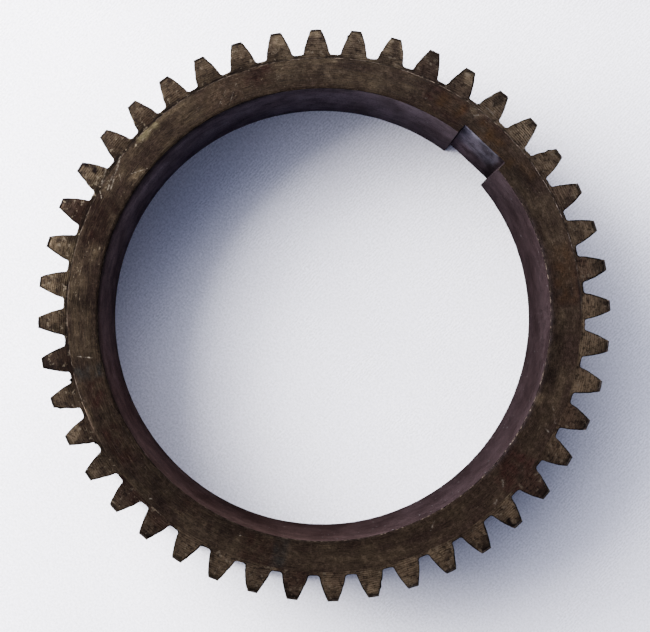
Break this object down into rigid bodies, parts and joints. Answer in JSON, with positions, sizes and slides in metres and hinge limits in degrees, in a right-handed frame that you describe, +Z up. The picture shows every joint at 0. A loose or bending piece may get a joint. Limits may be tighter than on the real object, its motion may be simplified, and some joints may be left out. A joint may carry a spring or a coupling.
{
  "type": "spur ring gear",
  "caption": "Narrow steel ring gear with straight external teeth, a large plain bore with one shallow keyway, and slightly raised thrust faces.",
  "frame": {"origin": "on the gear's axis, in the plane of the lower thrust face that it lies on", "axes": "+Z up along the gear's axis, +Y from the axis towards the middle of the keyway"},
  "size_m": [0.1166, 0.1166, 0.0191],
  "materials": {
    "oiled_steel": "dark machined steel with a brown film of old oil and light rust, fine turning marks on the faces"
  },
  "bodies": {
    "root": {"ring_gear": "oiled_steel"}
  },
  "joints": []
}
